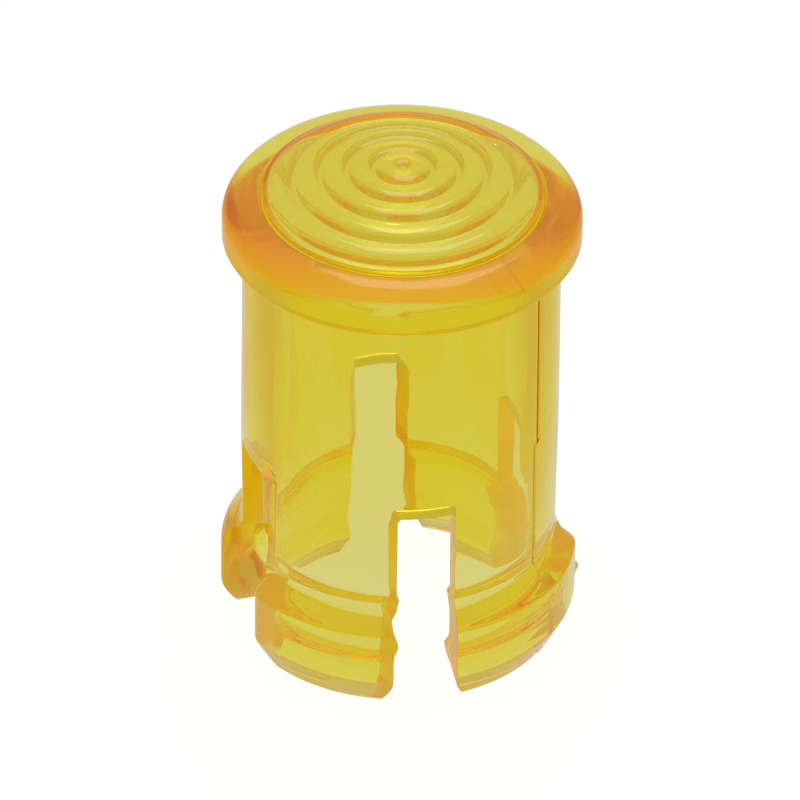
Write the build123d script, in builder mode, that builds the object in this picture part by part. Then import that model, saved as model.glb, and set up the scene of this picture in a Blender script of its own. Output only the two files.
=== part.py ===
from build123d import *
from math import sin, cos, asin, tan, radians, degrees, sqrt
import os

# Snap-in panel lens cap for a 5 mm (T-1 3/4) lamp, one clear amber moulding.
# Frame: millimetres, +Z out through the lens, origin on the axis in the plane of
# the flange's underside (the face that sits on the panel). The front slot is on -Y.
# Azimuths are degrees from -Y towards +X, anticlockwise seen from above.

# ---------------------------------------------------------------- head
rim_r = 3.557            # flange radius
rim_z = 0.44             # height of the flange's straight side
shoulder_w = 0.75        # the shoulder is a quarter ellipse this wide
shoulder_h = 0.50        # and this high
window_r = 2.77          # lens window radius
dome_r = 7.8             # sphere that the window's ridges follow
dome_top_z = 1.55        # crown of that sphere
ceiling_z = 0.95         # top of the lamp cavity, on the axis
ceiling_edge_z = 0.745   # and at the bore; the ceiling is slightly domed
ridge_pitch = 0.53       # spacing of the ring ridges
ridge_first = 0.31       # radius of the first ring crest
ridge_count = 5          # the last valley must stay inside window_r
ridge_relief = 0.07      # crest above the sphere

# ---------------------------------------------------------------- barrel
barrel_r = 3.14          # passes a 6.35 mm panel hole
bore_r = 2.53            # clears a 5.0 mm lamp body
spigot_z = 0.10          # the tube's upper end, let into the flange
slot_top_z = -4.70       # where the fingers start

# ---------------------------------------------------------------- slots
slot_fb_w = 1.16         # front and back slots
slot_lr_w = 1.33         # side slots
slot_lr_az = 97.65       # azimuth of the right slot; the left one is opposite
foot_relief_side = 0.25  # feet stand back from the side slots by this much
foot_relief_front = 0.18 # front-left foot from the front slot, rear-right from the back

# ---------------------------------------------------------------- feet
foot_top_z = -6.90       # barb's cone starts
stem_out_r = 3.10        # the fingers are drafted: outside here, at the barb
stem_in_r = 2.60         # and inside, which is also the lamp flange's groove
foot_r = 3.525           # barb radius
foot_cone_z = -7.30      # barb reaches its full radius
foot_rim_z = -8.43       # lead-in taper starts
foot_end_z = -9.05       # lower end of the part
foot_end_r = 3.20
foot_mouth = 0.08        # inner chamfer at the lamp's entry

# beads inside each finger that grip the lamp's flange: start, crest, end heights
bead_in_r = 2.32
bead_heights = (
    (foot_top_z, -7.12, -7.34),
    (-8.02, -8.45, -8.84),
)

# ---------------------------------------------------------------- flexure
hinge_z = slot_top_z     # height of the fingers' bending axis
knuckle_r = 0.58         # round root that turns about the bending axis
root_rise = knuckle_r + 0.2  # stock above the axis that the root is cut from
root_side_inset = 0.18   # root's ends stand in from the finger's inner edges
root_gap = 0.02          # running gap round the root
root_skin = 0.005        # stem stands in from the barrel's faces by this much
root_slope = 12.6        # relief beside the root, degrees
root_in_draft = 0.12     # the round root leans away from the bore and from the
root_out_draft = 0.24    # panel hole above the axis, so that neither is blocked

# ---------------------------------------------------------------- cutting tools
cut_reach = 2            # root cutters run this far from the bending axis
beside_depth = 3         # cutters beside the root run this far along the wall
outline_reach = 7.0      # finger outlines run this far along each slot
outline_margin = 1       # and start this far below the piece they trim

# ---------------------------------------------------------------- finger layout
half_lr = slot_lr_w / 2
half_fb = slot_fb_w / 2
# Per finger, for the slot before it and then the slot after it: azimuth and half
# width. Last come the foot's set-backs from the same two slots.
fingers = {
    "front_left": (slot_lr_az - 180, half_lr, 0.0, half_fb, foot_relief_side, foot_relief_front),
    "front_right": (0.0, half_fb, slot_lr_az, half_lr, 0.0, foot_relief_side),
    "rear_right": (slot_lr_az, half_lr, 180.0, half_fb, foot_relief_side, foot_relief_front),
    "rear_left": (180.0, half_fb, slot_lr_az + 180, half_lr, 0.0, foot_relief_side),
}


def save(part, name):
    part.label = name
    export_step(part, f"parts/{name}.step")


def out_dir(azimuth):
    """Unit vector that points outwards at an azimuth."""
    return Vector(sin(radians(azimuth)), -cos(radians(azimuth)), 0)


def along_dir(azimuth):
    """Unit vector along the wall at an azimuth, towards larger azimuths."""
    return Vector(cos(radians(azimuth)), sin(radians(azimuth)), 0)


def dome_z(radius):
    """Height of the window's sphere at a distance from the axis."""
    return dome_top_z - dome_r + sqrt(dome_r**2 - radius**2)


def finger_outline(az_before, half_before, az_after, half_after):
    """Plan outline between two slots: four corners, with slot walls parallel to
    the slots' centre planes."""
    along_before, along_after = along_dir(az_before), along_dir(az_after)
    det = along_before.X * along_after.Y - along_before.Y * along_after.X
    corner = Vector(
        (half_before * along_after.Y + half_after * along_before.Y) / det,
        (-half_after * along_before.X - half_before * along_after.X) / det,
        0,
    )
    out_before, out_after = out_dir(az_before), out_dir(az_after)
    points = [
        corner,
        corner + out_before * outline_reach,
        corner + (out_before + out_after) * outline_reach,
        corner + out_after * outline_reach,
    ]
    return [(point.X, point.Y) for point in points]


def finger_hinge(az_before, half_before, az_after, half_after):
    """Plane across the wall through a finger's bending axis, local x outwards and
    local y up, and half the width of the finger's round root."""
    start = az_before + degrees(asin(half_before / bore_r))
    end = az_after - degrees(asin(half_after / bore_r))
    half_angle = radians((end - start) / 2)
    # the axis lies midway between the bore's chord and the barrel's outside
    axis_distance = (bore_r * cos(half_angle) + barrel_r) / 2
    outwards = out_dir((start + end) / 2)
    plane = Plane(
        origin=outwards * axis_distance + Vector(0, 0, hinge_z),
        x_dir=outwards,
        z_dir=outwards.cross(Vector(0, 0, 1)),
    )
    return plane, bore_r * sin(half_angle) - root_side_inset


def make_lens_window():
    """Ridged disc over the lamp cavity."""
    with BuildPart() as window:
        with BuildSketch(Plane.XZ):
            with BuildLine():
                # ring ridges: round crests that meet in sharp valleys, a dimple at the centre
                centre = (0, dome_z(0))
                valley = centre
                for i in range(ridge_count):
                    crest_r = ridge_first + i * ridge_pitch
                    valley_r = crest_r + ridge_pitch / 2
                    next_valley = (valley_r, dome_z(valley_r))
                    ThreePointArc(valley, (crest_r, dome_z(crest_r) + ridge_relief), next_valley)
                    valley = next_valley
                border = (window_r, dome_z(window_r))
                Line(valley, border)
                Polyline(border, (window_r, ceiling_edge_z), (bore_r, ceiling_edge_z))
                # domed ceiling, an arc about a centre on the axis
                sag = ceiling_z - ceiling_edge_z
                ceiling_r = (bore_r**2 + sag**2) / (2 * sag)
                middle_r = bore_r / 2
                middle_z = ceiling_z - ceiling_r + sqrt(ceiling_r**2 - middle_r**2)
                ThreePointArc((bore_r, ceiling_edge_z), (middle_r, middle_z), (0, ceiling_z))
                Line((0, ceiling_z), centre)
            make_face()
        revolve(axis=Axis.Z)
    return window.part


def make_flange():
    """Ring round the window that rests on the panel."""
    shoulder_r = rim_r - shoulder_w
    flange_top_z = rim_z + shoulder_h
    with BuildPart() as flange:
        with BuildSketch(Plane.XZ):
            with BuildLine():
                Polyline((barrel_r, 0), (rim_r, 0), (rim_r, rim_z))
                EllipticalCenterArc(
                    (shoulder_r, rim_z), shoulder_w, shoulder_h, start_angle=0, arc_size=90
                )
                Polyline(
                    (shoulder_r, flange_top_z),
                    (window_r, flange_top_z),
                    (window_r, ceiling_edge_z),
                    (bore_r, ceiling_edge_z),
                    (bore_r, spigot_z),
                    (barrel_r, spigot_z),
                    (barrel_r, 0),
                )
            make_face()
        revolve(axis=Axis.Z)
    return flange.part


def make_stem(outline, hinge, root_half):
    """Curved strip of the wall with a round root."""
    root_out_r = barrel_r - root_skin
    root_in_r = bore_r + root_skin
    root_top_z = hinge_z + root_rise
    roof_low = -cut_reach * tan(radians(root_slope))
    with BuildPart() as stem:
        with BuildSketch(Plane.XZ):
            with BuildLine():
                Polyline(
                    (stem_in_r, foot_top_z),
                    (stem_out_r, foot_top_z),
                    (root_out_r, hinge_z),
                    (root_out_r - root_rise * root_out_draft, root_top_z),
                    (root_in_r + root_rise * root_in_draft, root_top_z),
                    (root_in_r, hinge_z),
                    close=True,
                )
            make_face()
        revolve(axis=Axis.Z)
        with BuildSketch(Plane.XY.offset(foot_top_z - outline_margin)):
            Polygon(*outline, align=None)
        extrude(amount=5, mode=Mode.INTERSECT)
        # above the axis: everything outside the round root's radius goes
        with BuildSketch(hinge):
            with BuildLine():
                Polyline(
                    (-knuckle_r, 0),
                    (-cut_reach, 0),
                    (-cut_reach, cut_reach),
                    (cut_reach, cut_reach),
                    (cut_reach, 0),
                    (knuckle_r, 0),
                )
                ThreePointArc((knuckle_r, 0), (0, knuckle_r), (-knuckle_r, 0))
            make_face()
        extrude(amount=root_half, both=True, mode=Mode.SUBTRACT)
        # beside the root: a shallow roof that clears the barrel as the finger bends
        for side in (1, -1):
            root_end = Plane(
                origin=hinge.origin + hinge.z_dir * (side * root_half),
                x_dir=hinge.x_dir,
                z_dir=hinge.z_dir,
            )
            with BuildSketch(root_end):
                with BuildLine():
                    Polyline(
                        (0, 0),
                        (-cut_reach, roof_low),
                        (-cut_reach, cut_reach),
                        (cut_reach, cut_reach),
                        (cut_reach, roof_low),
                        close=True,
                    )
                make_face()
            extrude(amount=beside_depth * side, mode=Mode.SUBTRACT)
    return stem.part


def make_barb(outline):
    """Snap foot at the finger's end."""
    with BuildPart() as barb:
        with BuildSketch(Plane.XZ):
            with BuildLine():
                Polyline(
                    (stem_in_r, foot_top_z),
                    (stem_out_r, foot_top_z),
                    (foot_r, foot_cone_z),
                    (foot_r, foot_rim_z),
                    (foot_end_r, foot_end_z),
                    (stem_in_r + foot_mouth, foot_end_z),
                    (stem_in_r, foot_end_z + foot_mouth),
                    close=True,
                )
            make_face()
        revolve(axis=Axis.Z)
        with BuildSketch(Plane.XY.offset(foot_end_z - outline_margin)):
            Polygon(*outline, align=None)
        extrude(amount=4, mode=Mode.INTERSECT)
    return barb.part


def make_beads(outline):
    """Two ribs round the inside of the finger that hold the lamp's flange."""
    with BuildPart() as beads:
        with BuildSketch(Plane.XZ):
            for start_z, crest_z, end_z in bead_heights:
                with BuildLine():
                    Polyline(
                        (stem_in_r, start_z), (bead_in_r, crest_z), (stem_in_r, end_z), close=True
                    )
                make_face()
        revolve(axis=Axis.Z)
        with BuildSketch(Plane.XY.offset(foot_end_z - outline_margin)):
            Polygon(*outline, align=None)
        extrude(amount=5, mode=Mode.INTERSECT)
    return beads.part


def make_barrel(hinges):
    """Tube with a socket for each finger's round root to turn in."""
    with BuildPart() as barrel:
        with BuildSketch(Plane.XZ):
            with BuildLine():
                Polyline(
                    (bore_r, spigot_z),
                    (barrel_r, spigot_z),
                    (barrel_r, slot_top_z),
                    (bore_r, slot_top_z),
                    close=True,
                )
            make_face()
        revolve(axis=Axis.Z)
        for hinge, root_half in hinges:
            with BuildSketch(hinge):
                Circle(knuckle_r + root_gap)
            extrude(amount=root_half + root_gap, both=True, mode=Mode.SUBTRACT)
    return barrel.part


os.makedirs("parts", exist_ok=True)
save(make_lens_window(), "lens_window")
save(make_flange(), "flange")

hinges = []
for name, (az_before, half_before, az_after, half_after, back_before, back_after) in fingers.items():
    hinge, root_half = finger_hinge(az_before, half_before, az_after, half_after)
    hinges.append((hinge, root_half))
    stem_outline = finger_outline(az_before, half_before, az_after, half_after)
    foot_outline = finger_outline(
        az_before, half_before + back_before, az_after, half_after + back_after
    )
    save(make_stem(stem_outline, hinge, root_half), f"finger_{name}_stem")
    save(make_barb(foot_outline), f"finger_{name}_barb")
    save(make_beads(foot_outline), f"finger_{name}_beads")

save(make_barrel(hinges), "barrel")
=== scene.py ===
import bpy
import bmesh
import math
import numpy as np
from functools import partial
from mathutils import Matrix, Vector


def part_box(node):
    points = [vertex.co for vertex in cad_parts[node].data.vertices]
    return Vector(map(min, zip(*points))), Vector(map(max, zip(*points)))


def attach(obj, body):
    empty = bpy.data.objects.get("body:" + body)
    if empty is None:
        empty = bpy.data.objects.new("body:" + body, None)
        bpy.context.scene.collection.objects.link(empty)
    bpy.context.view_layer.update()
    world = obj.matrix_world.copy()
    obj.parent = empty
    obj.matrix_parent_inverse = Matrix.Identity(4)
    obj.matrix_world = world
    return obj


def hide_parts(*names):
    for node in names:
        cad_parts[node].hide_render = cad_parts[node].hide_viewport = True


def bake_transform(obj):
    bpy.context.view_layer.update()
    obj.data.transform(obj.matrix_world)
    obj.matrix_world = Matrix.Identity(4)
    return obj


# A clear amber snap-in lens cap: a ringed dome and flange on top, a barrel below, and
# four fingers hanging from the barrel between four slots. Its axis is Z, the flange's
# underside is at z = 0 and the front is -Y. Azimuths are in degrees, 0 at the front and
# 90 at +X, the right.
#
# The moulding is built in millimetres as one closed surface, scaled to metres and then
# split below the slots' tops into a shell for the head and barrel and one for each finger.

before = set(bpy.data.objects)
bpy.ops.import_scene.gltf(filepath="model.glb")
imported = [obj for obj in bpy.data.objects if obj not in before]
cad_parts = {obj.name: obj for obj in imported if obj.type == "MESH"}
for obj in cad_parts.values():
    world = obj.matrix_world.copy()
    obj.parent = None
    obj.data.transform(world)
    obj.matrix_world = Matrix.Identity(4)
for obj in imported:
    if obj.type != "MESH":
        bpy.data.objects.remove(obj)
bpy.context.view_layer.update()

LOW, HIGH = 0, 1
X, Z = 0, 2


def mm(node, corner, axis):
    """One coordinate of a CAD node's bounding box, in millimetres."""
    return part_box(node)[corner][axis] * 1000.0


# ------------------------------------------------------------------ sizes, mm and degrees
RIM_R = mm("flange", HIGH, X)
WINDOW_R = mm("lens_window", HIGH, X)
BARREL_R = mm("barrel", HIGH, X)
SHOULDER_Z = mm("flange", HIGH, Z)
CEILING_Z = mm("lens_window", LOW, Z)
SLOT_Z = mm("barrel", LOW, Z)                      # tops of the slots
LEDGE_Z = mm("finger_front_left_barb", HIGH, Z)    # tops of the fingers' feet
END_Z = mm("finger_front_left_barb", LOW, Z)
SPLIT_Z = -4.92              # where a finger's shell meets the barrel's

BORE_R = 2.53
CEILING_RISE = 0.205         # at the axis
BARREL_END_R = BARREL_R - 0.002
STEM_R = 3.10
GROOVE_R = 2.60              # inside the fingers, between the beads
BEAD_R = 2.32
FOOT_R = 3.525

DOME_R = 7.8                 # radius of curvature
DOME_Z = 1.55                # top of the plain dome
DOME_EDGE_R = WINDOW_R - 0.035
RING_PITCH = 0.53
RING_CREST = 0.31            # radius of the first crest
RING_H = 0.072

SHOULDER_W = 0.75            # the flange's elliptical shoulder: width, height and base
SHOULDER_H = 0.50
SHOULDER_BASE = 0.44

SLOTS = {                    # azimuth, half width
    "left": (-82.35, 0.665),
    "front": (0.0, 0.58),
    "right": (97.65, 0.665),
    "back": (180.0, 0.58),
}
FINGERS = {                  # slot at side 0 (lower azimuth), slot at side 1
    "front_left": ("left", "front"),
    "front_right": ("front", "right"),
    "rear_right": ("right", "back"),
    "rear_left": ("back", "left"),
}
NAMES = list(FINGERS)
NEIGHBOURS = list(zip(NAMES, NAMES[1:] + NAMES[:1]))

PART_LINES = (48.9, 48.9 + 180.0)      # the mould's parting lines
JOG_Z = -3.88                          # the height where they jog

WALL_STEPS = 6               # across the wall
SLOT_STEPS = 14              # across a slot
COLUMN_PITCH = 1.65          # degrees between a finger's columns
DEPTHS = np.linspace(0, 1, WALL_STEPS + 1)       # 0 at the outside, 1 at the inside


# ------------------------------------------------------------------ profile tools
def smooth(x):
    x = np.clip(x, 0.0, 1.0)
    return x * x * (3 - 2 * x)


def bump(x, half):
    """1 at x = 0, 0 beyond +-half, smooth."""
    return smooth(1 - abs(x) / half)


def wrapped(degrees):
    """The same angle between -180 and 180."""
    return ((degrees + 180.0) % 360.0) - 180.0


def rounded(corners, step=0.09, segments=5):
    """A polyline of (r, z, corner radius) as (n, 2) points no further apart than step."""
    points = [np.array(c[:2], float) for c in corners]
    curve = [points[0]]
    for i in range(1, len(points) - 1):
        before, corner, after = points[i - 1:i + 2]
        radius = corners[i][2]
        if radius <= 0:
            curve.append(corner)
            continue
        len_before = np.linalg.norm(before - corner)
        len_after = np.linalg.norm(after - corner)
        to_before, to_after = (before - corner) / len_before, (after - corner) / len_after
        half = math.acos(max(-1, min(1, float(to_before @ to_after)))) / 2
        cut = min(radius / math.tan(half), 0.49 * len_before, 0.49 * len_after)
        start, end = corner + to_before * cut, corner + to_after * cut
        for k in range(segments + 1):
            t = k / segments
            curve.append((1 - t) ** 2 * start + 2 * t * (1 - t) * corner + t * t * end)
    curve.append(points[-1])
    full = [curve[0]]
    for start, end in zip(curve, curve[1:]):
        count = max(1, int(math.ceil(np.linalg.norm(end - start) / step)))
        for k in range(1, count + 1):
            point = start + (end - start) * k / count
            if np.linalg.norm(point - full[-1]) > 1e-4:
                full.append(point)
    return np.array(full)


def soft_polyline(z, knots, half_window):
    """A polyline r(z) through (z, r) knots, averaged over +-half_window in z."""
    knot_z, knot_r = np.array(knots[::-1]).T
    shifts = np.linspace(-half_window, half_window, 13)
    return np.mean([np.interp(z + s, knot_z, knot_r) for s in shifts], axis=0)


# ------------------------------------------------------------------ head and barrel profiles
def rings(r):
    """Round crests that meet in valleys, 0 in the valleys and 1 on the crests."""
    d = (np.abs(r) - RING_CREST + RING_PITCH / 2) % RING_PITCH - RING_PITCH / 2
    return 1 - (2 * d / RING_PITCH) ** 2


def dome(r):
    """The window's height: a sphere with rings that fade out at its edge."""
    z = DOME_Z - DOME_R + np.sqrt(DOME_R ** 2 - r ** 2)
    wave = np.mean([rings(r + d) for d in np.linspace(-0.03, 0.03, 9)], axis=0)
    return z + RING_H * wave * smooth((WINDOW_R - 0.03 - r) / 0.10)


def outer_profile():
    """From the crown over the flange and down the barrel to the slots."""
    top_r = np.linspace(0.0, DOME_EDGE_R, 140)
    top_z = dome(top_r)
    border_z = float(top_z[-1])
    shoulder = [
        (RIM_R - SHOULDER_W + SHOULDER_W * math.cos(t), SHOULDER_BASE + SHOULDER_H * math.sin(t), 0)
        for t in np.linspace(math.radians(88), 0, 34)
    ]
    edge = rounded([         # r, z, corner radius
        # the window's border steps down to a fine groove
        (DOME_EDGE_R, border_z, 0),
        (WINDOW_R, border_z - 0.02, 0.02),
        (WINDOW_R + 0.03, 0.885, 0.03),
        (WINDOW_R + 0.085, 0.932, 0.05),
        *shoulder,
        # rim, underside and barrel
        (RIM_R, 0.05, 0.03),
        (RIM_R - 0.05, 0.0, 0.03),
        (BARREL_R, 0.0, 0.05),
        (BARREL_R, -0.4, 0),
        (BARREL_R, SLOT_Z + 0.35, 0),
        (BARREL_END_R, SLOT_Z, 0),
    ])
    return np.vstack([np.stack([top_r, top_z], 1)[:-1], edge])


def inner_profile():
    """From the slots up the bore and along the arched ceiling to the axis."""
    ceiling = [
        (float(r), CEILING_Z + CEILING_RISE * (1 - (r / BORE_R) ** 2), 0.0)
        for r in np.linspace(BORE_R, 0, 20)
    ]
    ceiling[0] = (*ceiling[0][:2], 0.08)
    return rounded([(BORE_R, SLOT_Z, 0), *ceiling], step=0.14)


# ------------------------------------------------------------------ finger profiles
LEVELS = np.unique(np.round(np.concatenate([
    np.linspace(SLOT_Z, SPLIT_Z, 4),
    np.linspace(SPLIT_Z, LEDGE_Z + 0.10, 22),
    np.linspace(LEDGE_Z + 0.10, -8.95, 76),
    np.linspace(-8.95, END_Z, 5),
]), 4))[::-1]

FINGER_OUTSIDE = [           # z, r
    (0.0, BARREL_R),
    (SLOT_Z + 0.2, BARREL_R),
    (SLOT_Z - 0.3, BARREL_R - 0.008),
    (LEDGE_Z, STEM_R),
    (-7.30, FOOT_R - 0.004),
    (-7.42, FOOT_R),
    (-8.43, FOOT_R - 0.006),
    (END_Z, 3.20),
    (END_Z - 1, 3.2 - 0.52),
]
FINGER_INSIDE = [            # z, r, with a bead at -7.12 and another at -8.45
    (0.0, BORE_R),
    (SLOT_Z, BORE_R),
    (LEDGE_Z, GROOVE_R),
    (-7.12, BEAD_R),
    (-7.34, GROOVE_R),
    (-8.02, GROOVE_R),
    (-8.45, BEAD_R - 0.01),
    (-8.84, GROOVE_R),
    (END_Z, GROOVE_R + 0.07),
    (END_Z - 1, GROOVE_R + 0.4),
]
OUTSIDE_SOFTNESS = {"front": 0.045, "rear": 0.15}
INSIDE_SOFTNESS = 0.20

FOOT_SETBACK = {             # how far a foot's sides stand back: side 0, side 1
    "front_left": (0.25, 0.12),
    "front_right": (0.0, 0.25),
    "rear_right": (0.25, 0.18),
    "rear_left": (0.0, 0.25),
}
SLOT_FILLET = 0.07           # corners at the slots' tops
LEFT_SLOT_FILLET = 0.20
# small feathered nibs of flash that stand into the slots
NIBS = {                     # (finger, side): z, half height, size outside, size inside
    ("front_left", 1): [(-6.72, 0.22, 0.045, 0.0225), (-7.52, 0.34, 0.085, 0.034)],
    ("front_right", 0): [(-7.00, 0.16, 0.0, 0.035), (-8.30, 0.26, 0.0, 0.040)],
    ("rear_right", 0): [(-6.8, 0.2, 0.0, 0.05)],
    ("rear_left", 0): [(-6.8, 0.2, 0.0, 0.05)],
}


def side_offset(finger, side, z, depth):
    """How far a finger's side stands back from its slot's wall (positive) or into the slot."""
    offset = FOOT_SETBACK[finger][side] * smooth((LEDGE_Z - 0.02 - z) / 0.16)
    # rounded corners at the slot's top
    fillet = LEFT_SLOT_FILLET if FINGERS[finger][side] == "left" else SLOT_FILLET
    t = np.clip((z - (SLOT_Z - fillet)) / fillet, 0.0, 1.0)
    offset = offset - fillet * (1 - np.sqrt(1 - t * t * 0.98))
    # and the feet's lower corners
    offset = offset + 0.17 * np.clip((-8.50 - z) / 0.55, 0.0, 1.0) ** 2
    if (finger, side) == ("front_left", 1):
        offset = offset + 0.055 * depth * smooth((SLOT_Z - 0.1 - z) / 0.3)
    for nib_z, half, outside, inside in NIBS.get((finger, side), []):
        offset = offset - bump(z - nib_z, half) * (outside + (inside - outside) * depth)
    # the back slot's walls lean across their thickness and aren't quite straight
    if FINGERS[finger][side] == "back":
        if finger == "rear_right":
            lean = -0.07 + 0.15 * depth + 0.015 * np.sin(z * 3.1) + 0.010 * np.sin(z * 7.7 + 1.0)
        else:
            lean = -0.15 + 0.21 * depth + 0.010 * np.sin(z * 5.3)
        fade_in = smooth((SLOT_Z - 0.02 - z) / 0.2)
        offset = offset + lean * fade_in * (1 - 0.5 * smooth((LEDGE_Z - z) / 0.3))
    return offset


def side_azimuths(finger, r, z, depth):
    """Azimuths of a finger's two sides at radius r and height z."""
    (start, start_half), (end, end_half) = (SLOTS[s] for s in FINGERS[finger])
    if end < start:
        end += 360.0
    r = np.maximum(r, BORE_R)
    start_half = start_half + side_offset(finger, 0, z, depth)
    end_half = end_half + side_offset(finger, 1, z, depth)
    return start + np.degrees(np.arcsin(start_half / r)), end - np.degrees(np.arcsin(end_half / r))


def column_fractions(finger):
    """Columns across a finger, close together at its sides and at the parting line."""
    low, high = side_azimuths(finger, BARREL_R, SLOT_Z, 0.0)
    span = high - low
    ends = np.array([0.0, 0.035, 0.075, 0.13, 0.20]) / (math.radians(span) * BARREL_R)
    middle = np.linspace(ends[-1], 1 - ends[-1], int(span / COLUMN_PITCH))
    t = np.concatenate([ends, middle, 1 - ends])
    for line in PART_LINES:
        if low < line < high:
            centre = (line - low) / span
            fine = centre + np.array([-0.62, -0.22, 0.22, 0.62]) / span
            t = t[np.abs(t - centre) > 0.55 * COLUMN_PITCH / span]
            t = np.concatenate([t, fine])
    return np.unique(np.round(t, 6))


FRACTIONS = {f: column_fractions(f) for f in FINGERS}


# ------------------------------------------------------------------ parting lines
def line_shift(z):
    """How far a parting line strays in azimuth: it drifts, and jogs at JOG_Z."""
    above = 0.7 - 0.5 * smooth((z - JOG_Z) / 3.8)
    below = -1.45 + 1.7 * smooth((JOG_Z - z) / 3.2)
    return np.where(z > JOG_Z, above, below)


def from_line(azimuth, line, z):
    """Degrees from a parting line, jog included."""
    return wrapped(azimuth - line - line_shift(z))


def warp(azimuth, z):
    """Bends the columns near the parting lines so that they follow the jog."""
    across_jog = np.interp(z, [-3.95, -3.80], line_shift(np.array([-3.96, -3.79])))
    shift = np.where((z > -3.80) | (z < -3.95), line_shift(z), across_jog)
    shift = shift * smooth((0.25 - z) / 0.2)
    for line in PART_LINES:
        azimuth = azimuth + shift * np.exp(-((wrapped(azimuth - line) / 5.0) ** 2))
    return azimuth


def mismatch(azimuth, z):
    """A tiny step and a seam groove at each parting line, below the flange."""
    step_h, groove_h, groove_w = 0.020, 0.020, 0.30
    step = 0.0
    for line in PART_LINES:
        d = from_line(azimuth, line, z)
        rise_and_fade = smooth((d + 0.45) / 0.9) * smooth((52.0 - d) / 40.0)
        step = step + step_h * rise_and_fade * (d > -90) * (d < 90)
        step = step - groove_h * np.exp(-((d / groove_w) ** 2))
    return step * smooth((-0.02 - z) / 0.12)


def surface(r, azimuth, z, depth):
    """Points of the wall; only its two faces follow the parting lines."""
    if depth in (0, 1):
        azimuth = warp(azimuth, z)
    if depth == 0:
        r = r + mismatch(azimuth, z)
    a = np.radians(azimuth)
    return np.stack([r * np.sin(a), -r * np.cos(a), z + 0 * a], -1)


# ------------------------------------------------------------------ the moulding's grids
grid_points, grid_quads = [], []


def add_grid(points, flip=False, close=False):
    """Adds a grid of points as quads. Rows run down, columns run to larger azimuths."""
    rows, columns = points.shape[:2]
    base = sum(len(p) for p in grid_points)
    grid_points.append(points.reshape(-1, 3))
    last = columns if close else columns - 1
    i, j = np.meshgrid(np.arange(rows - 1), np.arange(last), indexing="ij")
    upper = base + i * columns
    lower = upper + columns
    j2 = (j + 1) % columns
    quads = np.stack([upper + j, lower + j, lower + j2, upper + j2], -1).reshape(-1, 4)
    grid_quads.append(quads[:, ::-1] if flip else quads)


def slot_azimuths(finger, following, r, depth):
    """Columns across the slot between two neighbouring fingers, at its top."""
    start = side_azimuths(finger, r, SLOT_Z, depth)[1]
    end = side_azimuths(following, r, SLOT_Z, depth)[0]
    if end < start:
        end += 360.0
    return np.linspace(start, end, SLOT_STEPS + 1)


def ring_azimuths(r, depth):
    """All columns of a full ring at radius r: fingers and slots."""
    columns = []
    for finger, following in NEIGHBOURS:
        low, high = side_azimuths(finger, r, SLOT_Z, depth)
        columns.append(low + (high - low) * FRACTIONS[finger])
        columns.append(slot_azimuths(finger, following, r, depth)[1:-1])
    return np.concatenate(columns)


def add_rings(path, depth, flip):
    """Full rings along a profile. At the axis they shrink to a point, merged later."""
    rows = [surface(r, ring_azimuths(r, depth), z, depth) for r, z in path]
    add_grid(np.array(rows), flip=flip, close=True)


def add_slot_top(finger, following):
    """A strip across the wall; its edges lie on the barrel's and the bore's last rings."""
    rows = []
    for depth in DEPTHS:
        r = BARREL_END_R + (BORE_R - BARREL_END_R) * depth
        rows.append(surface(r, slot_azimuths(finger, following, r, depth), SLOT_Z, depth))
    add_grid(np.array(rows))


def flash_and_wear(finger, z, t, depth):
    """What the front fingers' sides at the left and right slots add to the radius."""
    from_side = t if finger == "front_left" else 1 - t
    away = from_side * 4.2           # about millimetres from the side
    # the feet's ends are rounded off
    soft = 0.16 * np.clip(1 - away / 0.34, 0.0, 1.0) ** 2 * smooth((-6.75 - z) / 0.5)
    change = -soft * (1 - depth)
    if finger == "front_left":
        # a feathered fin of flash
        fin = 0.24 * smooth((-5.98 - z) / 0.03) * smooth((z + 7.10) / 0.75)
        fin = fin * smooth((0.26 - away) / 0.20)
        return change + fin * (1 - depth) ** 1.3
    # a burr on the foot's rim
    burr = 0.17 * bump(z + 8.08, 0.24) * smooth((0.30 - from_side * 4.0) / 0.25)
    return change + burr * (1 - depth) ** 2


def add_finger(finger):
    """A block open at its top, with an outside, an inside, two sides and an end."""
    softness = OUTSIDE_SOFTNESS[finger.split("_")[0]]
    outside = soft_polyline(LEVELS, FINGER_OUTSIDE, softness)
    inside = soft_polyline(LEVELS, FINGER_INSIDE, INSIDE_SOFTNESS)
    outside[0], inside[0] = BARREL_END_R, BORE_R
    t = FRACTIONS[finger][None, :]
    z = LEVELS[:, None]
    layers = []
    for depth in DEPTHS:
        r = (outside + (inside - outside) * depth)[:, None]
        low, high = side_azimuths(finger, r, z, depth)
        azimuth = low + (high - low) * t
        if finger.startswith("front"):
            r = r + flash_and_wear(finger, z, t, depth)
        layers.append(surface(r, azimuth, z, depth))
    block = np.array(layers)         # depth, level, column, xyz
    add_grid(block[0])
    add_grid(block[-1], flip=True)
    add_grid(block[:, :, 0].transpose(1, 0, 2), flip=True)
    add_grid(block[:, :, -1].transpose(1, 0, 2))
    add_grid(block[:, -1])


add_rings(outer_profile(), depth=0, flip=False)
add_rings(inner_profile()[::-1], depth=1, flip=True)
for pair in NEIGHBOURS:
    add_slot_top(*pair)
for name in FINGERS:
    add_finger(name)


# ------------------------------------------------------------------ one closed mesh
def add_object(name, data):
    thing = bpy.data.objects.new(name, data)
    bpy.context.scene.collection.objects.link(thing)
    return thing


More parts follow.
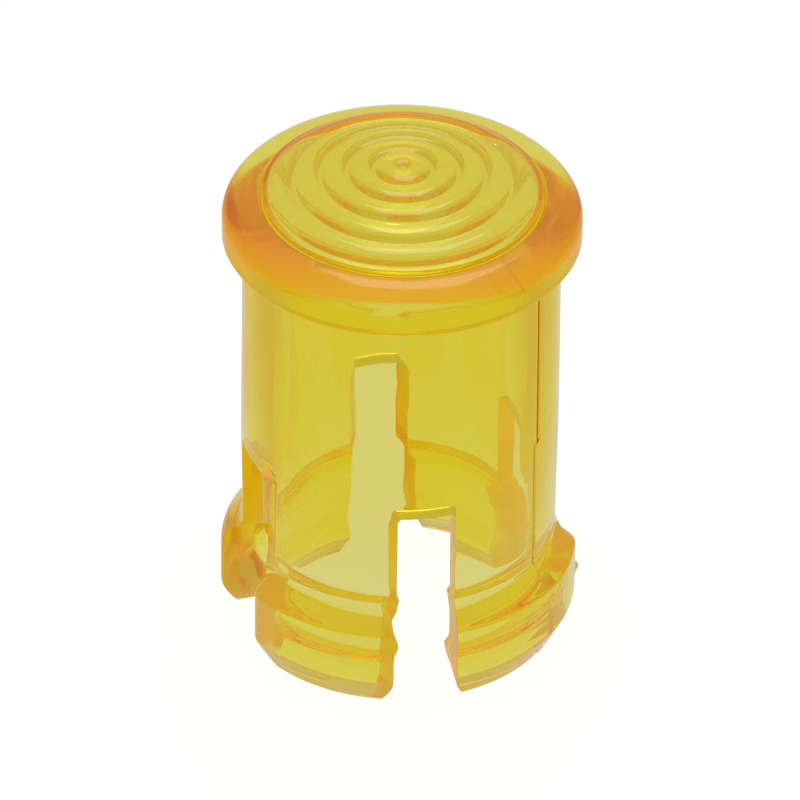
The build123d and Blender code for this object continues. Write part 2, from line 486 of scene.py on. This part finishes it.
def closed_mesh():
    """Merges the grids and weights the fingers' sharp edges for a bevel."""
    mesh = bpy.data.meshes.new("moulding")
    mesh.from_pydata(np.vstack(grid_points).tolist(), [], np.vstack(grid_quads).tolist())
    work = bmesh.new()
    work.from_mesh(mesh)
    bmesh.ops.remove_doubles(work, verts=work.verts, dist=0.0012)
    bmesh.ops.dissolve_degenerate(work, dist=1e-5, edges=work.edges)
    bmesh.ops.recalc_face_normals(work, faces=work.faces)
    weight = work.edges.layers.float.new("bevel_weight_edge")
    for edge in work.edges:
        if len(edge.link_faces) == 2 and edge.calc_face_angle(0.0) > math.radians(50):
            middle = (edge.verts[0].co + edge.verts[1].co) / 2
            if middle.z < SLOT_Z + 0.01:
                edge[weight] = 1.0
    work.to_mesh(mesh)
    work.free()
    return mesh


def bevelled(mesh):
    """The mesh with its weighted edges rounded."""
    whole = add_object("moulding", mesh)
    bevel = whole.modifiers.new("edges", "BEVEL")
    bevel.limit_method = "WEIGHT"
    bevel.width = 0.035
    bevel.segments = 3
    bevel.profile = 0.5
    bevel.use_clamp_overlap = True
    bevel.loop_slide = False
    bpy.context.view_layer.update()
    depsgraph = bpy.context.evaluated_depsgraph_get()
    result = bpy.data.meshes.new_from_object(whole.evaluated_get(depsgraph))
    bpy.data.objects.remove(whole)
    return result


def read_vectors(items, attribute):
    values = np.zeros(len(items) * 3)
    items.foreach_get(attribute, values)
    return values.reshape(-1, 3)


def add_waviness(mesh):
    """Moves vertices by micrometres along their normals, and scales to metres."""
    points = read_vectors(mesh.vertices, "co")
    normals = read_vectors(mesh.vertices, "normal")
    rng = np.random.default_rng(7)
    wave = np.zeros(len(points))
    for _ in range(26):
        d = rng.normal(size=3)
        d /= np.linalg.norm(d)
        freq = rng.uniform(0.9, 4.2)
        wave += rng.uniform(0.4, 1.0) * np.sin((points @ d) * freq + rng.uniform(0, 6.28)) / freq
    calm = np.where(points[:, 2] > 0.2, 0.35, 1.0)       # the head is truer
    points = points + normals * (wave * 0.0013 * calm)[:, None]
    mesh.vertices.foreach_set("co", (points * 0.001).astype(np.float32).ravel())
    mesh.update()


moulding = bevelled(closed_mesh())
add_waviness(moulding)

# ------------------------------------------------------------------ surface attributes
centres = read_vectors(moulding.polygons, "center") * 1000.0
face_x, face_y, face_z = centres.T
normals = read_vectors(moulding.polygons, "normal")
face_r = np.hypot(face_x, face_y)
face_az = np.degrees(np.arctan2(face_x, -face_y))
# 1 where a face looks straight towards or away from the axis
radial = np.abs(normals[:, 0] * face_x + normals[:, 1] * face_y) / np.maximum(face_r, 1e-6)
upright = (face_z < SLOT_Z - 0.01) & (np.abs(normals[:, 2]) < 0.8)


def write_attribute(name, values):
    layer = moulding.attributes.new(name, "FLOAT", "FACE")
    layer.data.foreach_set("value", values.astype(np.float32))


def seam_shade_values():
    """Where the parting lines get a painted shade line, stronger above the jog and on the front
    right.
    """
    seam = np.zeros(len(centres))
    for line, strength in zip(PART_LINES, (1.0, 0.3)):
        near = np.abs(from_line(face_az, line, face_z) + 0.2) < 0.45
        near &= (radial > 0.7) & (face_r > 3.0) & (face_z < -0.06)
        z = face_z[near]
        seam[near] = np.where(z > JOG_Z, 1.0, 0.55) * (z > LEDGE_Z) * strength
    return seam


def fin_values():
    """The front left finger's fin."""
    by_height = (face_z < -5.9) & (face_z > -7.05)
    return (face_r > STEM_R + 0.03) & by_height & (face_az > -72.5) & (face_az < -63.0)


def back_wall_shade_values():
    """Where the back slot's walls get painted shade: the right wall, and more faintly its left one.
    """
    wall = upright & (face_z > -8.6) & (radial < 0.75) & (face_y > 1.5)
    right = wall & (face_x > 0.2) & (face_x < 0.95)
    left = wall & (face_x < -0.2) & (face_x > -0.95)
    return np.where(left, 0.6, np.where(right, 1.0, 0.0))


def finish_values():
    """Roughness added by place. Later entries override earlier ones."""
    side = upright & (radial < 0.6)
    finish = np.full(len(centres), 0.02)
    # the window, and the flange around it
    finish[(face_r < WINDOW_R + 0.01) & (face_z > SHOULDER_Z)] = 0.01
    finish[(face_r > WINDOW_R + 0.01) & (face_z > 0.02)] = 0.14
    # all slot walls, then the back slot's
    finish[upright & (radial < 0.45)] = 0.30
    finish[side & (np.abs(face_x) < 0.75) & (face_y > 0)] = 0.04
    # the left slot's front wall above the ledge
    left_front = side & (face_x < 0) & (face_y < 0) & (face_y > -1.6)
    finish[left_front & (face_z > LEDGE_Z)] = 0.05
    # the right slot's rear wall
    finish[side & (face_x > 0.8) & (face_y > 0.9)] = 0.62
    # the rear left foot's side at the left slot
    left_rear = side & (face_x < -1.8) & (face_y > -0.2) & (face_y < 0.8)
    finish[left_rear & (face_z < LEDGE_Z)] = 0.20
    # the fingers' ends
    finish[face_z < END_Z + 0.03] = 0.10
    # all that lies within the bore's radius above the slots
    finish[(face_r < BORE_R + 0.02) & (face_z > SLOT_Z)] = 0.03
    return finish


# the seam attribute marks where the parting lines get painted shade
write_attribute("seam", seam_shade_values())
write_attribute("cloudy", fin_values())
# the edge attribute marks where the back slot's walls get painted shade
write_attribute("edge", back_wall_shade_values())
write_attribute("finish", finish_values())

# ------------------------------------------------------------------ split into shells
BODY = -1
owner = np.full(len(centres), BODY)
for index, slots in enumerate(FINGERS.values()):
    first, second = (SLOTS[s][0] for s in slots)
    between = (face_az - first) % 360.0 < (second - first) % 360.0
    owner[(face_z < SPLIT_Z) & between] = index

moulding.polygons.foreach_set("use_smooth", np.ones(len(centres), bool))
vertex_normals = read_vectors(moulding.vertices, "normal")


def shell(name, index):
    """A piece made of the faces one owner has, with the whole moulding's normals."""
    work = bmesh.new()
    work.from_mesh(moulding)
    work.faces.ensure_lookup_table()
    tag = work.verts.layers.int.new("source")
    for vert in work.verts:
        vert[tag] = vert.index
    others = [face for face in work.faces if owner[face.index] != index]
    bmesh.ops.delete(work, geom=others, context="FACES")
    mesh = bpy.data.meshes.new(name)
    sources = [vert[tag] for vert in work.verts]
    work.verts.layers.int.remove(tag)
    work.to_mesh(mesh)
    work.free()
    mesh.normals_split_custom_set_from_vertices([tuple(vertex_normals[s]) for s in sources])
    return add_object(name, mesh)


body = shell("lens_cap_head_and_barrel", BODY)
fingers = {f: shell("snap_finger_" + f, i) for i, f in enumerate(FINGERS)}


# ------------------------------------------------------------------ shader tools
def blank_tree(owner_data):
    owner_data.use_nodes = True
    owner_data.node_tree.nodes.clear()
    return owner_data.node_tree


def add_node(tree, kind, inputs=None, **settings):
    """A shader node. Inputs given as sockets are linked, others are set."""
    node = tree.nodes.new("ShaderNode" + kind)
    for key, value in settings.items():
        setattr(node, key, value)
    for key, value in (inputs or {}).items():
        if isinstance(value, bpy.types.NodeSocket):
            tree.links.new(value, node.inputs[key])
        else:
            node.inputs[key].default_value = value
    return node


def add_math(tree, operation, *values, **settings):
    node = add_node(tree, "Math", dict(enumerate(values)), operation=operation, **settings)
    return node.outputs[0]


def add_range(tree, value, low, high, to=None, **settings):
    """Maps low..high to 0..1, or to the range given."""
    inputs = {"Value": value, "From Min": low, "From Max": high}
    if to:
        inputs.update({"To Min": to[0], "To Max": to[1]})
    return add_node(tree, "MapRange", inputs, **settings).outputs["Result"]


def mix_color(tree, factor, first, second, **settings):
    inputs = {"Factor": factor, "A": first, "B": second}
    return add_node(tree, "Mix", inputs, data_type="RGBA", **settings).outputs["Result"]


# ------------------------------------------------------------------ amber resin
ABSORPTION = {"Red": 0.012, "Green": 0.100, "Blue": 2.10}      # per mm
ENTRY_TINT = (0.98, 0.98, 0.96, 1.0)
TWO_WALLS_TINT = (0.93, 0.72, 0.06, 1.0)
# painted shade for the parting lines' seam groove
SEAM_SHADE_TINT = (0.50, 0.36, 0.12, 1.0)
FIN_TINT = (1.0, 0.97, 0.36, 1.0)
# painted shade for the back slot's walls
BACK_WALL_SHADE_TINT = (0.97, 0.66, 0.07, 1.0)
# painted light: the colour of the resin's glow on deep paths
DEEP_AMBER_GLOW = (0.85, 0.74, 0.30, 1.0)
SEAM_DEPTH = 1.5             # ray depths below which the seam's and the back walls' painted shade is laid on
BACK_WALL_DEPTH = 3.5
DEEP_DEPTH = 7.0             # ray depth beyond which the resin glows


def amber_resin():
    material = bpy.data.materials.new("amber_resin")
    tree = blank_tree(material)
    node, maths, mix = (partial(f, tree) for f in (add_node, add_math, mix_color))
    path = node("LightPath").outputs
    inside = node("NewGeometry").outputs["Backfacing"]
    place = node("TexCoord").outputs["Object"]

    def painted(name):
        return node("Attribute", attribute_name=name).outputs["Fac"]

    def noise(scale, detail):
        inputs = {"Vector": place, "Scale": scale, "Detail": detail}
        return node("TexNoise", inputs).outputs["Fac"]

    # faint flow marks and dull specks, over the finish of each place
    marks = add_range(tree, noise(scale=900.0, detail=3.0), 0.45, 0.85, to=(0.0, 0.04))
    roughness = maths("ADD", marks, painted("finish"))
    relief = node("Bump", {
        "Strength": 0.05,
        "Distance": 0.00001,
        "Height": noise(scale=2600.0, detail=2.0),
    })

    # absorption by the length of the path inside the resin
    absorbed = node("CombineColor")
    for channel, per_mm in ABSORPTION.items():
        power = maths("MULTIPLY", path["Ray Length"], -per_mm * 1000.0)
        tree.links.new(maths("EXPONENT", power), absorbed.inputs[channel])
    # seen from exactly one metre, as a colour bake sees it and no camera here does, the
    # resin has the plain colour of two walls, for viewers that don't trace rays
    one_metre_away = maths("COMPARE", path["Ray Length"], 1.0, 0.001)
    entry = mix(one_metre_away, ENTRY_TINT, TWO_WALLS_TINT)
    color = mix(inside, entry, absorbed.outputs["Color"])

    # painted shade: a fine dark line along the parting line's seam groove
    direct = maths("LESS_THAN", path["Ray Depth"], SEAM_DEPTH)
    seam = maths("MULTIPLY", painted("seam"), direct)
    color = mix(seam, color, SEAM_SHADE_TINT, blend_type="MULTIPLY")
    # the fin is cloudy, yellower than its thickness alone would make it
    color = mix(painted("cloudy"), color, FIN_TINT, blend_type="MULTIPLY")
    # painted shade: seen nearly directly from outside, the back slot's walls are tinted deep orange
    nearly_direct = maths("LESS_THAN", path["Ray Depth"], BACK_WALL_DEPTH)
    wall = maths("MULTIPLY", painted("edge"), nearly_direct)
    wall = maths("SUBTRACT", wall, inside, use_clamp=True)
    color = mix(wall, color, BACK_WALL_SHADE_TINT, blend_type="MULTIPLY")

    glass = node("BsdfGlass", {
        "IOR": 1.58,
        "Color": color,
        "Roughness": roughness,
        "Normal": relief.outputs["Normal"],
    }, distribution="MULTI_GGX")
    # painted light: past DEEP_DEPTH the resin glows deep amber, standing in for light that has gone
    # round inside the walls many times
    deep = node("Emission", {"Color": DEEP_AMBER_GLOW, "Strength": 1.0})
    many_turns = maths("GREATER_THAN", path["Ray Depth"], DEEP_DEPTH)
    shader = node("MixShader", {0: many_turns, 1: glass.outputs["BSDF"], 2: deep.outputs[0]})
    node("OutputMaterial", {"Surface": shader.outputs[0]})
    material.cycles.emission_sampling = "NONE"
    material.diffuse_color = (0.95, 0.74, 0.05, 0.6)
    return material


resin = amber_resin()
for piece in [body, *fingers.values()]:
    piece.data.materials.append(resin)

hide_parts("lens_window", "flange", "barrel")
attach(body, "lens_body")
for name, piece in fingers.items():
    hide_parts(*[f"finger_{name}_{part}" for part in ("stem", "barb", "beads")])
    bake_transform(piece)

# ------------------------------------------------------------------ stage
CAMERA_AZ = -10.5
CAMERA_ELEVATION = 35.5
CAMERA_ROLL = 0.7
CAMERA_DISTANCE = 0.35
VIEW_WIDTH = 15.87           # mm across the picture at the aim
AIM = Vector((0.0, 0.0, -0.00403))


def direction(azimuth, elevation):
    """The unit vector from the axis towards an azimuth and elevation in degrees."""
    a, e = math.radians(azimuth), math.radians(elevation)
    return Vector((math.sin(a) * math.cos(e), -math.cos(a) * math.cos(e), math.sin(e)))


def backdrop(tree, plain, seen):
    """One shader where the camera looks straight at it, another for all other rays."""
    is_camera = add_node(tree, "LightPath").outputs["Is Camera Ray"]
    return add_node(tree, "MixShader", {0: is_camera, 1: plain, 2: seen}).outputs[0]


def table_color(tree, far_color, near_color):
    """Turns to the near colour on the camera's side of the table and out to the sides."""
    position = add_node(tree, "NewGeometry").outputs["Position"]

    def along(axis):
        inputs = {0: position, 1: axis}
        dot = add_node(tree, "VectorMath", inputs, operation="DOT_PRODUCT")
        return dot.outputs["Value"]

    steps = {"interpolation_type": "SMOOTHSTEP"}
    away = add_range(tree, along(direction(CAMERA_AZ + 180, 0)), -0.013, 0.001, **steps)
    aside = add_math(tree, "ABSOLUTE", along(direction(CAMERA_AZ + 90, 0)))
    sides = add_range(tree, aside, 0.0045, 0.0105, to=(1.0, 0.45), **steps)
    return mix_color(tree, add_math(tree, "MULTIPLY", away, sides), near_color, far_color)


def light_table(tree, level, albedo, near_color=None):
    """A light table's diffuser: glows evenly and takes a faint shadow."""
    grey = (level, level, level, 1)
    emission = add_node(tree, "Emission", {"Color": grey, "Strength": 1.0})
    if near_color:
        color = table_color(tree, grey, near_color)
        tree.links.new(color, emission.inputs["Color"])
    diffuse = add_node(tree, "BsdfDiffuse", {"Color": (albedo, albedo, albedo, 1)})
    both = add_node(tree, "AddShader", {0: emission.outputs[0], 1: diffuse.outputs[0]})
    return both.outputs[0]


def add_floor():
    work = bmesh.new()
    bmesh.ops.create_grid(work, x_segments=4, y_segments=4, size=0.6)
    mesh = bpy.data.meshes.new("floor")
    work.to_mesh(mesh)
    work.free()
    floor = add_object("floor", mesh)
    floor.location = (0, 0, END_Z / 1000 - 0.00001)      # just clear of the feet
    material = bpy.data.materials.new("floor_white")
    tree = blank_tree(material)
    plain = light_table(tree, level=0.68, albedo=0.05, near_color=(0.56, 0.33, 0.06, 1.0))
    seen = light_table(tree, level=0.90, albedo=0.22)
    add_node(tree, "OutputMaterial", {"Surface": backdrop(tree, plain, seen)})
    material.cycles.emission_sampling = "NONE"
    mesh.materials.append(material)


def add_world():
    """White to the camera; to other rays, amber at the horizon and pale grey above."""
    world = bpy.data.worlds.new("studio")
    bpy.context.scene.world = world
    tree = blank_tree(world)
    coordinates = add_node(tree, "TexCoord").outputs["Generated"]
    height = add_node(tree, "SeparateXYZ", {0: coordinates}).outputs["Z"]
    sky = mix_color(tree, add_range(tree, height, -0.05, 0.75),
                    (0.60, 0.47, 0.22, 1.0), (0.58, 0.55, 0.50, 1.0))
    soft = add_node(tree, "Background", {"Color": sky})
    pure = add_node(tree, "Background", {"Color": (1, 1, 1, 1), "Strength": 1.0})
    surface_shader = backdrop(tree, soft.outputs[0], pure.outputs[0])
    add_node(tree, "OutputWorld", {"Surface": surface_shader})


def add_softbox(name, azimuth, elevation, distance, width, length, power):
    """A rectangular light that faces the origin."""
    light = bpy.data.lights.new(name, "AREA")
    light.shape = "RECTANGLE"
    light.size = width
    light.size_y = length
    light.energy = power
    box = add_object(name, light)
    towards = direction(azimuth, elevation)
    box.location = towards * distance
    box.rotation_mode = "QUATERNION"
    box.rotation_quaternion = towards.to_track_quat("Z", "Y")


def add_camera():
    lens = bpy.data.cameras.new("camera")
    camera = add_object("camera", lens)
    lens.sensor_width = 36.0
    lens.lens = 36.0 * CAMERA_DISTANCE * 1000.0 / VIEW_WIDTH
    lens.clip_start = 0.01
    lens.clip_end = 5.0
    back = direction(CAMERA_AZ, CAMERA_ELEVATION)
    facing = (-back).to_track_quat("-Z", "Y").to_matrix().to_4x4()
    roll = Matrix.Rotation(math.radians(CAMERA_ROLL), 4, "Z")
    camera.rotation_mode = "QUATERNION"
    camera.matrix_world = Matrix.Translation(AIM + back * CAMERA_DISTANCE) @ facing @ roll
    bpy.context.scene.camera = camera


add_floor()
add_world()
add_softbox("softbox_top", azimuth=164.0, elevation=63.0, distance=0.30,
            width=0.12, length=0.13, power=0.085)
add_camera()

scene = bpy.context.scene
scene.view_settings.view_transform = "Standard"
scene.cycles.max_bounces = 24
scene.cycles.transmission_bounces = 24
scene.cycles.glossy_bounces = 12
scene.cycles.diffuse_bounces = 4
scene.cycles.blur_glossy = 0.0
scene.cycles.sample_clamp_indirect = 6.0
